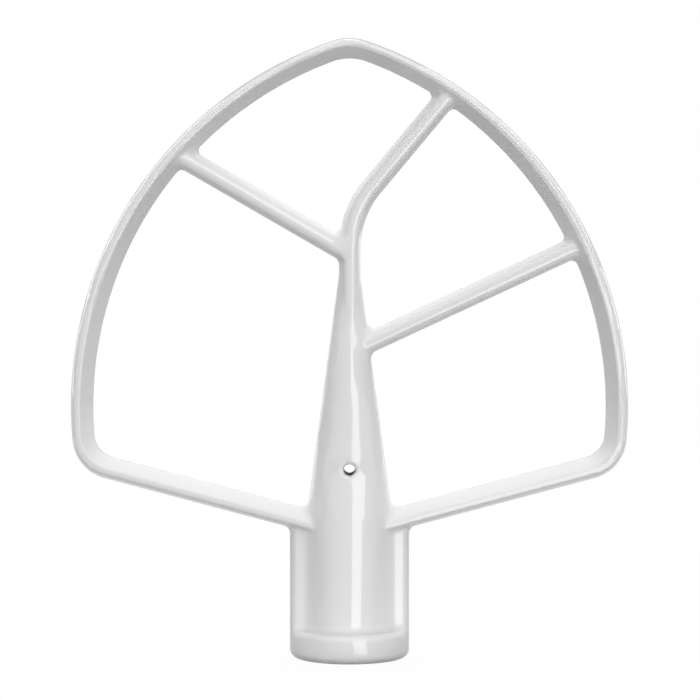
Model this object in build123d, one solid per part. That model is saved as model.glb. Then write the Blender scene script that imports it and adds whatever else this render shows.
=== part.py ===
from build123d import *
from math import atan2, cos, hypot, radians, sin, sqrt, tan
import os

# A one-piece cast flat beater, standing on its hub with its tip up.
# Z = 0 is the hub's rim, X = Y = 0 is the drive axis, and the front looks along -Y.

# Outline of the frame, on the middle plane
frame_width = 135.2
widest_height = 60.9
side_radius = 93.3
tip_round = 12.0
corner_round = 10.4
inner_corner_round = 6.0
arm_root_height = 27.4
arm_rise = 14.86
valley_round = 12.0

# Section of the frame: its ridge lies nearer the outer edge
side_thickness = 5.65
tip_thickness = 4.85
arm_depth = 12.65
tip_depth = 11.0
inner_draft = 23.0
outer_draft = 13.0
ridge_round = 0.8
edge_round = 1.8

# Right cross bar: its angle to the level, and the height where its centre line meets the axis
right_bar_width = 5.25
right_bar_depth = 7.4
right_bar_angle = 24.9
right_bar_height = 73.9

# Left cross bar, placed up the axis from the right one
bar_width = 5.4
bar_depth = 8.0
bar_fullness = 0.88
left_bar_angle = 30.05
left_bar_step = 23.8

# Centre bar: it leaves the stem upright, bends above the left bar and leans to the right
centre_bar_step = 9.7
centre_bar_lean = 39.8
centre_bar_bend = 23.5
bar_corner_round = 2.0

# How far the bars run into the frame, and how deep their feet lie in the stem
bar_seat = 3.4
foot_cover = 0.4
joint_round = 1.5

# Stem: it tapers from the hub to the right bar and on into the centre bar
hub_radius = 10.4
taper_step = 1.0
taper_blend = 10.0
stem_bar_radius = 5.05
stem_tip_radius = 2.4
stem_joint_round = 2.0

# Collar, and the two wings that rise flush from it to carry the arms
collar_radius = 14.45
collar_height = 7.0
collar_foot_round = 2.0
wing_thickness = 8.0
wing_edge_round = 1.8
web_round = 4.2
recess_round = 2.0

# Blind bore for the drive shaft, and the cross hole that drains its end
shaft_diameter = 12.7
shaft_gap = 0.1
bore_depth = 40.0
mouth_chamfer = 0.8
drain_height = 45.6
drain_diameter = 2.8
drain_round = 1.0

# Bayonet for the shaft's cross pin: a keyway in one wing, then a pocket to turn into
pin_diameter = 4.8
pin_gap = 0.4
pin_reach = 11.3
pin_height = 18.2
pin_turn = 55.0
hook_width = 30.0
hook_drop = 1.2

# Slack for telling edges and faces apart
near = 0.001

# The wings end behind the ridge of the arms, and the stem starts to taper above them
arm_slope = tan(radians(arm_rise))
draft_difference = tan(radians(inner_draft)) - tan(radians(outer_draft))
ridge_gap = (side_thickness - arm_depth / 2 * draft_difference) / 2
wing_top = arm_root_height + arm_slope * hub_radius + ridge_gap / cos(radians(arm_rise))
taper_start = wing_top + taper_step
stem_slope = (hub_radius - stem_bar_radius) / (right_bar_height - taper_start)

side_centre = side_radius - frame_width / 2
tip_height = widest_height + sqrt(side_radius**2 - side_centre**2)
left_bar_height = right_bar_height + left_bar_step
centre_bar_kink = left_bar_height + centre_bar_step


def shield(floor, centre, radius, corner_round, tip_round, valley_round):
    # Closed outline of two rising arms and two side arcs that meet in a tip.
    rise = floor - widest_height
    a = 1 + arm_slope**2
    b = centre + arm_slope * rise
    c = centre**2 + rise**2 - radius**2
    corner_x = (sqrt(b**2 - a * c) - b) / a
    corner = (corner_x, floor + arm_slope * corner_x)
    tip = (0, widest_height + sqrt(radius**2 - centre**2))
    low = atan2(corner[1] - widest_height, corner[0] + centre)
    high = atan2(tip[1] - widest_height, centre)
    middle = (low + high) / 2
    on_arc = (radius * cos(middle) - centre, widest_height + radius * sin(middle))
    half = Line((0, floor), corner) + ThreePointArc(corner, on_arc, tip)
    outline = make_face(half + mirror(half, Plane.YZ))
    outline = fillet(outline.vertices().sort_by(Axis.Y)[0], valley_round)
    outline = fillet(outline.vertices().sort_by(Axis.Y)[-1], tip_round)
    corners = outline.vertices().sort_by(Axis.X)
    return fillet([corners[0], corners[-1]], corner_round)


def ridge_edges(half):
    # Edges of the flat nose in front of a half that stands on the middle plane.
    flat = half.faces().filter_by(lambda f: f.geom_type == GeomType.PLANE)
    return flat.filter_by(lambda f: f.normal_at().Z > 1 - near).edges()


def on_middle_plane(edge):
    box = edge.bounding_box()
    return max(abs(box.min.Z), abs(box.max.Z)) < near


def doubled(half):
    # The half and its mirror image, with the parting edges rounded.
    full = half + mirror(half, Plane.XY)
    return fillet(full.edges().filter_by(on_middle_plane), edge_round)


def bar_section(width, depth):
    # Upper half of a bar's section, with the gentle flank at the left.
    ridge = depth / 2
    gentle = (-width / 2 + ridge * tan(radians(inner_draft)), ridge)
    steep = (width / 2 - ridge * tan(radians(outer_draft)), ridge)
    return make_face(Polyline((-width / 2, 0), gentle, steep, (width / 2, 0), close=True))


def nose_round(width, depth):
    # Radius that rounds a bar's nose from flank to flank, up to its fullness.
    flat = width - depth / 2 * (tan(radians(inner_draft)) + tan(radians(outer_draft)))
    turns = tan(radians(90 - inner_draft) / 2) + tan(radians(90 - outer_draft) / 2)
    return bar_fullness * flat / turns


def heading(angle):
    return (cos(radians(angle)), sin(radians(angle)))


def along(start, way, length):
    return (start[0] + way[0] * length, start[1] + way[1] * length)


def length_to_side(start, way, side):
    # Length from a start inside the frame to the seat in its left (-1) or right (1) side.
    x = start[0] + side * side_centre
    y = start[1] - widest_height
    b = x * way[0] + y * way[1]
    seat_radius = side_radius - side_thickness + bar_seat
    return sqrt(b**2 - x**2 - y**2 + seat_radius**2) - b


def stem_height(radius):
    # Height at which the tapering stem has come down to a radius.
    return taper_start + (hub_radius - radius) / stem_slope


def straight_bar(start, end, width, depth):
    # Half bar whose gentle flank is on the left of the way from its start to its end.
    run = (start[0] - end[0], start[1] - end[1])
    length = hypot(*run)
    foot = Plane(origin=(*end, 0), x_dir=(-run[1], run[0], 0), z_dir=(*run, 0))
    return extrude(foot * bar_section(width, depth), amount=length)


# Frame: the drafted outer block less a window that widens towards the front
block_depth = arm_depth / 2 + 1
outer = shield(arm_root_height, side_centre, side_radius, corner_round, tip_round, valley_round)
thinning = (side_thickness - tip_thickness) / (1 - side_centre / side_radius)
spread = block_depth * tan(radians(inner_draft))
window = shield(
    arm_root_height + (side_thickness - spread) / cos(radians(arm_rise)),
    side_centre + thinning,
    side_radius - side_thickness + thinning + spread,
    inner_corner_round + spread,
    tip_round + spread,
    valley_round + spread,
)
outer_block = extrude(outer, amount=block_depth, taper=outer_draft)
window_block = mirror(extrude(window, amount=block_depth, taper=inner_draft), Plane.XY)
front_line = Polyline(
    (arm_root_height, 0),
    (tip_height, 0),
    (tip_height, tip_depth / 2),
    (arm_root_height, arm_depth / 2),
    close=True,
)
front_wedge = extrude(Plane.YZ * make_face(front_line), amount=frame_width, both=True)
ring = (outer_block - Pos(0, 0, block_depth) * window_block) & front_wedge
ring = doubled(fillet(ridge_edges(ring), ridge_round))

# Left cross bar and bent centre bar, which meet above the stem
left_way = heading(180 - left_bar_angle)
left_start = (0, left_bar_height)
left_end = along(left_start, left_way, length_to_side(left_start, left_way, -1))
left_bar = straight_bar(left_end, left_start, bar_width, bar_depth)
bend_tangent = centre_bar_bend * tan(radians(centre_bar_lean) / 2)
bend_foot = (0, centre_bar_kink - bend_tangent)
centre_way = heading(90 - centre_bar_lean)
bend_end = along((0, centre_bar_kink), centre_way, bend_tangent)
centre_end = along(bend_end, centre_way, length_to_side(bend_end, centre_way, 1))
centre_foot = (0, stem_height(bar_depth / 2 + foot_cover))
bend_plane = Plane(origin=(*bend_foot, 0), x_dir=(1, 0, 0), z_dir=(0, -1, 0))
bend_face = bend_plane * bar_section(bar_width, bar_depth)
bend_axis = Axis((centre_bar_bend, bend_foot[1], 0), (0, 0, -1))
centre_bar = straight_bar(centre_foot, bend_foot, bar_width, bar_depth)
centre_bar += revolve(bend_face, axis=bend_axis, revolution_arc=centre_bar_lean)
centre_bar += straight_bar(bend_end, centre_end, bar_width, bar_depth)
fork = left_bar + centre_bar
fork_corners = new_edges(left_bar, centre_bar, combined=fork).filter_by(lambda e: e.length > bar_depth / 4)
fork = fillet(fork_corners, bar_corner_round)


def clear_of_ends(edge):
    middle = edge.center()
    gaps = [hypot(middle.X - x, middle.Y - y) for x, y in (left_end, centre_end, centre_foot)]
    return min(gaps) > bar_width / 2


fork_ridges = ridge_edges(fork).filter_by(clear_of_ends)
fork = doubled(fillet(fork_ridges, nose_round(bar_width, bar_depth)))

# Right cross bar, from the stem to the right side
right_way = heading(right_bar_angle)
right_start = (0, right_bar_height)
right_end = along(right_start, right_way, length_to_side(right_start, right_way, 1))
right_bar = straight_bar(right_start, right_end, right_bar_width, right_bar_depth)
right_ridges = ridge_edges(right_bar).filter_by(lambda e: e.length > right_bar_width)
right_bar = doubled(fillet(right_ridges, nose_round(right_bar_width, right_bar_depth)))

# The bars' ends are rounded into the frame, which is then stood upright
lattice = ring + fork + right_bar
crossings = new_edges(ring, fork, right_bar, combined=lattice)
bar_ends = crossings.filter_by(lambda e: abs(e.center().X) > collar_radius)
lattice = Plane.XZ * fillet(bar_ends, joint_round)

# Hub: a round block, cut down above its collar to a boss and two wings in one blended section
on_floor = (Align.CENTER, Align.CENTER, Align.MIN)
block = Rot(0, 0, 90) * Cylinder(collar_radius, wing_top, align=on_floor)
span = 3 * collar_radius
section = Circle(hub_radius) + Rectangle(span, wing_thickness)
section = fillet(section.vertices().sort_by_distance((0, 0, 0))[:4], web_round)
recesses = extrude(Rectangle(span, span) - section, amount=wing_top)
block -= Pos(0, 0, collar_height) * recesses


def inside_collar(edge):
    middle = edge.center()
    return hypot(middle.X, middle.Y) < collar_radius - near


ledges = block.faces().filter_by(Axis.Z).group_by(Axis.Z)[1]
block = fillet(ledges.edges().filter_by(inside_collar), recess_round)
outside = block.faces().filter_by(GeomType.CYLINDER).sort_by(SortBy.AREA)[-1]
block_edges = [e for e in outside.edges() if collar_height - near < e.center().Z < wing_top - near]
block = fillet(block_edges, wing_edge_round)
block = fillet(block.edges().group_by(Axis.Z)[0], collar_foot_round)

# Stem, turned about the drive axis with the seam at the back
stem_top = stem_height(stem_tip_radius)
stem_line = Polyline(
    (0, wing_top),
    (hub_radius, wing_top),
    (hub_radius, taper_start),
    (stem_tip_radius, stem_top),
    (0, stem_top),
    close=True,
)
profile = make_face(stem_line)
profile = fillet(profile.vertices().sort_by_distance((hub_radius, taper_start, 0))[0], taper_blend)
stem = Rot(0, 0, 90) * revolve(Plane.XZ * profile, axis=Axis.Z)
hub = block + stem

# One casting: hub and frame, rounded where they meet
casting = hub + lattice
casting = fillet(new_edges(hub, lattice, combined=casting), stem_joint_round)

# Cross hole through the stem, with rounded rims
drain = Pos(0, 0, drain_height) * Rot(90, 0, 0) * Cylinder(drain_diameter / 2, 2 * collar_radius)
drilled = casting - drain
drilled = fillet(new_edges(casting, drain, combined=drilled), drain_round)

# Shaft bore with a domed end and a chamfered mouth
bore_radius = shaft_diameter / 2 + shaft_gap
bore_line = Polyline(
    (0, bore_depth + bore_radius),
    (0, 0),
    (bore_radius + mouth_chamfer, 0),
    (bore_radius, mouth_chamfer),
    (bore_radius, bore_depth),
)
bore_line += CenterArc((0, bore_depth), bore_radius, 0, 90)
bore = revolve(Plane.XZ * make_face(bore_line), axis=Axis.Z)


def sector(start, sweep, floor, height):
    # Part of a round plug about the drive axis, out to the pin's reach.
    first = heading(start)
    last = heading(start + sweep)
    arc = CenterArc((0, 0), pin_reach, start, sweep)
    tips = [(pin_reach * first[0], pin_reach * first[1]), (pin_reach * last[0], pin_reach * last[1])]
    face = make_face(Line((0, 0), tips[0]) + arc + Line(tips[1], (0, 0)))
    return extrude(Pos(0, 0, floor) * face, amount=height)


# Bayonet: straight in along the wing, a turn towards the back, and a drop into the hook
slot_width = pin_diameter + 2 * pin_gap
slot_floor = pin_height - slot_width / 2
slot_top = pin_height + slot_width / 2
keyway = Pos(pin_reach / 2, 0, slot_top / 2) * Box(pin_reach, slot_width, slot_top)
pocket = sector(0, pin_turn, slot_floor, slot_width)
hook = sector(pin_turn - hook_width, hook_width, slot_floor - hook_drop, slot_width)
beater = drilled - bore - keyway - pocket - hook

os.makedirs("parts", exist_ok=True)
export_step(beater, "parts/beater.step")
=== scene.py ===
from math import cos, radians, sin

import bmesh
import bpy
import numpy as np
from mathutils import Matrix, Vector


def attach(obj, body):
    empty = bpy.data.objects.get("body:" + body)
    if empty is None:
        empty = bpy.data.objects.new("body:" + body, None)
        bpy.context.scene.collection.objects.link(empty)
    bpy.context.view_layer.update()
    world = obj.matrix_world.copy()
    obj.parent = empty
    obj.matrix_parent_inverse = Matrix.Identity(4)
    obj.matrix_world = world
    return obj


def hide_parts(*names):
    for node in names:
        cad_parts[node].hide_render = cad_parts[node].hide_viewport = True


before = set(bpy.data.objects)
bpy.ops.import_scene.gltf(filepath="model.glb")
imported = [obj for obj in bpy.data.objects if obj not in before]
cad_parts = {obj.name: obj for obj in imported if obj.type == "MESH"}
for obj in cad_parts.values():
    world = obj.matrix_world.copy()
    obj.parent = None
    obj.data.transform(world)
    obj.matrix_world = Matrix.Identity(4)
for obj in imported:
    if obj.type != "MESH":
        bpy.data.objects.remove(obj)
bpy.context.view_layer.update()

# Camera: level, half way up the beater, 485 mm in front of its middle plane
CAMERA_DISTANCE = 0.485
CAMERA_SIDE = 0.00012
CAMERA_HEIGHT = 0.0743
CAMERA_LENS = 102.86
CAMERA_SENSOR = 36
CAMERA_NEAR = 0.01

# White coating: its colour and gloss vary in soft clouds, under a fine orange peel
COAT_COLOUR = (0.835, 0.835, 0.835)
COAT_SHADE = (0.8, 0.8, 0.8)
CLOUD_SCALE, CLOUD_DETAIL = 38.0, 2.0
PEEL_SCALE, PEEL_DETAIL = 420.0, 1.0
PEEL_STRENGTH = 0.012
PEEL_DEPTH = 0.00003
BASE_ROUGHNESS = 0.09
CLOUD_ROUGHNESS = 0.05
PEEL_ROUGHNESS = 0.02
BASE_SPECULAR = 0.1
GLOSS_IOR = 1.5
GLOSS_ROUGHNESS = 0.03

# Shading of the casting's mesh: sharp edges, and how far normals are evened out
CREASE_ANGLE = 38
WELD_DISTANCE = 2e-6
NORMAL_ROUNDS = 8
NORMAL_LIMIT = 0.02

# Lamps: name, turn to the right of the front, height angle, width and height, watts, shown in the gloss
LAMPS = (
    ("key_softbox", 20, 1, (0.48, 1.3), 6.6, True),
    ("front_fill", -18, 6, (0.6, 0.8), 3.9, False),
    ("high_front_panel", 0, 58, (1.4, 0.5), 2.2, True),
)
LAMP_DISTANCE = 1.05
LAMP_AIM = Vector((0, 0, 0.075))

# World: dim all round, with a soft glow from behind and above
AMBIENT = 0.02
GLOW = 1.75
GLOW_BACK = 0.75
GLOW_UP = 0.6

# Stage: a white table, cut short in front so that the hub shows the key softbox, and a backdrop
TABLE_HALF = 3.0
TABLE_FRONT = 0.025
TABLE_BOUNCE = (0.3, 0.3, 0.3)
TABLE_WHITE = 0.95
TABLE_FADE = (0.05, 0.3)
BACKDROP_PLACE = 0.9
BACKDROP_HALF = 0.3
BACKDROP_TOP = 0.6
BACKDROP_WHITE = 1.0
STAGE_IN_GLOSS = 0.5
WORLD_IN_GLOSS = 0.15
WHITE = (1, 1, 1)
WHITE_STRENGTH = 1.0


class Socket:
    """A shader value that takes part in Python arithmetic."""

    def __init__(self, tree, output):
        self.tree = tree
        self.output = output

    def _math(self, operation, other):
        return self.tree.add("ShaderNodeMath", {"operation": operation}, {0: self, 1: other})[0]

    def __add__(self, other):
        return self._math("ADD", other)

    __radd__ = __add__

    def __mul__(self, other):
        return self._math("MULTIPLY", other)

    __rmul__ = __mul__

    def at_least(self, other):
        return self._math("MAXIMUM", other)


class Outputs:
    """The outputs of one node, by name or place."""

    def __init__(self, tree, node):
        self.tree = tree
        self.node = node

    def __getitem__(self, key):
        return Socket(self.tree, self.node.outputs[key])


class Tree:
    """A node tree that grows by one node at a time."""

    def __init__(self, owner):
        owner.use_nodes = True
        self.nodes = owner.node_tree.nodes
        self.links = owner.node_tree.links
        self.nodes.clear()

    def add(self, kind, settings=None, sockets=None):
        node = self.nodes.new(kind)
        for name, value in (settings or {}).items():
            setattr(node, name, value)
        for name, value in (sockets or {}).items():
            if isinstance(value, Socket):
                self.links.new(value.output, node.inputs[name])
            else:
                node.inputs[name].default_value = value
        return Outputs(self, node)

    def mixed_colour(self, share, first, second):
        sockets = {"Factor": share, 6: (*first, 1.0), 7: (*second, 1.0)}
        return self.add("ShaderNodeMix", {"data_type": "RGBA"}, sockets)[2]

    def mixed_shader(self, share, first, second):
        return self.add("ShaderNodeMixShader", sockets={0: share, 1: first, 2: second})[0]

    def light(self, kind, strength):
        return self.add(kind, sockets={"Color": (*WHITE, 1.0), "Strength": strength})[0]


def coating():
    """The gloss white coating on the whole casting."""
    material = bpy.data.materials.new("gloss_white_coating")
    tree = Tree(material)
    place = tree.add("ShaderNodeTexCoord")["Object"]

    def noise(scale, detail):
        sockets = {"Vector": place, "Scale": scale, "Detail": detail}
        return tree.add("ShaderNodeTexNoise", sockets=sockets)["Fac"]

    cloud = noise(CLOUD_SCALE, CLOUD_DETAIL)
    peel = noise(PEEL_SCALE, PEEL_DETAIL)
    relief = tree.add(
        "ShaderNodeBump",
        sockets={"Strength": PEEL_STRENGTH, "Distance": PEEL_DEPTH, "Height": peel},
    )["Normal"]
    shader = tree.add(
        "ShaderNodeBsdfPrincipled",
        sockets={
            "Base Color": tree.mixed_colour(cloud, COAT_COLOUR, COAT_SHADE),
            "Roughness": BASE_ROUGHNESS + cloud * CLOUD_ROUGHNESS + peel * PEEL_ROUGHNESS,
            "IOR": GLOSS_IOR,
            "Specular IOR Level": BASE_SPECULAR,
            "Coat Weight": 1.0,
            "Coat IOR": GLOSS_IOR,
            "Coat Roughness": GLOSS_ROUGHNESS,
            "Normal": relief,
        },
    )["BSDF"]
    tree.add("ShaderNodeOutputMaterial", sockets={"Surface": shader})
    return material


def values(items, name, width, kind=np.float64):
    """One attribute of every item, as rows of numbers."""
    flat = np.empty(len(items) * width, kind)
    items.foreach_get(name, flat)
    return flat.reshape(-1, width) if width > 1 else flat


def unit(rows):
    return rows / np.linalg.norm(rows, axis=1, keepdims=True)


def even_normals(mesh):
    """Evens out the shading of long thin triangles; corners on sharp edges keep their own normals."""
    corners = values(mesh.loops, "vertex_index", 1, np.int32)
    corner_counts = values(mesh.polygons, "loop_total", 1, np.int32)
    faces = values(mesh.polygons, "normal", 3) * values(mesh.polygons, "area", 1)[:, None]
    sums = np.zeros((len(mesh.vertices), 3))
    np.add.at(sums, corners, np.repeat(faces, corner_counts, axis=0))
    normals = unit(sums)
    ends = values(mesh.edges, "vertices", 2, np.int32)
    sharp = values(mesh.edges, "use_edge_sharp", 1, bool)
    first, second = ends[~sharp].T
    for _ in range(NORMAL_ROUNDS):
        apart = 1 - (normals[first] * normals[second]).sum(axis=1)
        weight = np.exp(-apart / NORMAL_LIMIT)[:, None]
        sums = normals.copy()
        np.add.at(sums, first, weight * normals[second])
        np.add.at(sums, second, weight * normals[first])
        normals = unit(sums)
    normals[np.unique(ends[sharp])] = 0
    mesh.normals_split_custom_set(normals[corners])


def coated_casting():
    """The casting with its coating, in place of the CAD node."""
    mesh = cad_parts["beater"].data.copy()
    mesh.name = "coated_casting"
    body = bmesh.new()
    body.from_mesh(mesh)
    bmesh.ops.remove_doubles(body, verts=body.verts, dist=WELD_DISTANCE)
    body.to_mesh(mesh)
    body.free()
    mesh.shade_smooth()
    mesh.set_sharp_from_angle(angle=radians(CREASE_ANGLE))
    even_normals(mesh)
    mesh.materials.clear()
    mesh.materials.append(coating())
    casting = bpy.data.objects.new("coated_casting", mesh)
    bpy.context.scene.collection.objects.link(casting)
    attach(casting, "root")
    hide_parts("beater")


def seen_white(tree, in_gloss):
    """1 for rays that show the background to the camera, straight or through glass, and a share in gloss."""
    ray = tree.add("ShaderNodeLightPath")
    gloss = ray["Is Glossy Ray"] * in_gloss
    return ray["Is Camera Ray"].at_least(gloss).at_least(ray["Is Transmission Ray"])


def white_sheet(name, corners, whiteness):
    """A stage sheet that looks white and throws back little light; it gets whiter away from the beater."""
    material = bpy.data.materials.new(name)
    tree = Tree(material)
    seen = seen_white(tree, STAGE_IN_GLOSS)
    place = tree.add("ShaderNodeTexCoord")["Object"]
    distance = tree.add("ShaderNodeVectorMath", {"operation": "LENGTH"}, {0: place})["Value"]
    near, far = TABLE_FADE
    share = tree.add(
        "ShaderNodeMapRange",
        sockets={"Value": distance, "From Min": near, "From Max": far, "To Min": whiteness, "To Max": 1.0},
    )["Result"]
    tint = tree.mixed_colour(seen, TABLE_BOUNCE, WHITE)
    lit = tree.add("ShaderNodeBsdfDiffuse", sockets={"Color": tint})[0]
    white = tree.light("ShaderNodeEmission", WHITE_STRENGTH)
    tree.add("ShaderNodeOutputMaterial", sockets={"Surface": tree.mixed_shader(seen * share, lit, white)})
    mesh = bpy.data.meshes.new(name)
    mesh.from_pydata(corners, [], [(0, 1, 2, 3)])
    mesh.materials.append(material)
    sheet = bpy.data.objects.new(name, mesh)
    bpy.context.scene.collection.objects.link(sheet)


def studio_stage():
    half, front = TABLE_HALF, -TABLE_FRONT
    side, back, top = BACKDROP_HALF, BACKDROP_PLACE, BACKDROP_TOP
    table = [(-half, front, 0), (half, front, 0), (half, half, 0), (-half, half, 0)]
    backdrop = [(-side, back, 0), (side, back, 0), (side, back, top), (-side, back, top)]
    white_sheet("studio_table", table, TABLE_WHITE)
    white_sheet("studio_backdrop", backdrop, BACKDROP_WHITE)


def studio_world():
    world = bpy.data.worlds.new("studio")
    bpy.context.scene.world = world
    tree = Tree(world)
    dim = tree.light("ShaderNodeBackground", AMBIENT)
    glow = tree.light("ShaderNodeBackground", GLOW)
    white = tree.light("ShaderNodeBackground", WHITE_STRENGTH)
    way = tree.add("ShaderNodeSeparateXYZ", sockets={0: tree.add("ShaderNodeTexCoord")["Generated"]})
    behind = tree.add("ShaderNodeClamp", sockets={0: way["Y"] * GLOW_BACK + way["Z"] * GLOW_UP})[0]
    soft = tree.mixed_shader(behind, dim, glow)
    sky = tree.mixed_shader(seen_white(tree, WORLD_IN_GLOSS), soft, white)
    tree.add("ShaderNodeOutputWorld", sockets={"Surface": sky})


def studio_lamps():
    for name, turn, rise, size, power, in_gloss in LAMPS:
        turn, rise = radians(turn), radians(rise)
        away = Vector((sin(turn) * cos(rise), -cos(turn) * cos(rise), sin(rise)))
        data = bpy.data.lights.new(name, "AREA")
        data.shape = "RECTANGLE"
        data.size, data.size_y = size
        data.energy = power
        data.cycles.use_multiple_importance_sampling = in_gloss
        lamp = bpy.data.objects.new(name, data)
        lamp.location = LAMP_AIM + LAMP_DISTANCE * away
        lamp.rotation_euler = (-away).to_track_quat("-Z", "Y").to_euler()
        lamp.visible_camera = False
        lamp.visible_glossy = in_gloss
        bpy.context.scene.collection.objects.link(lamp)


def camera():
    data = bpy.data.cameras.new("camera")
    data.sensor_width = CAMERA_SENSOR
    data.lens = CAMERA_LENS
    data.clip_start = CAMERA_NEAR
    view = bpy.data.objects.new("camera", data)
    view.location = (CAMERA_SIDE, -CAMERA_DISTANCE, CAMERA_HEIGHT)
    view.rotation_euler = (radians(90), 0, 0)
    bpy.context.scene.collection.objects.link(view)
    bpy.context.scene.camera = view


coated_casting()
studio_stage()
studio_world()
studio_lamps()
camera()
bpy.context.scene.view_settings.view_transform = "Standard"
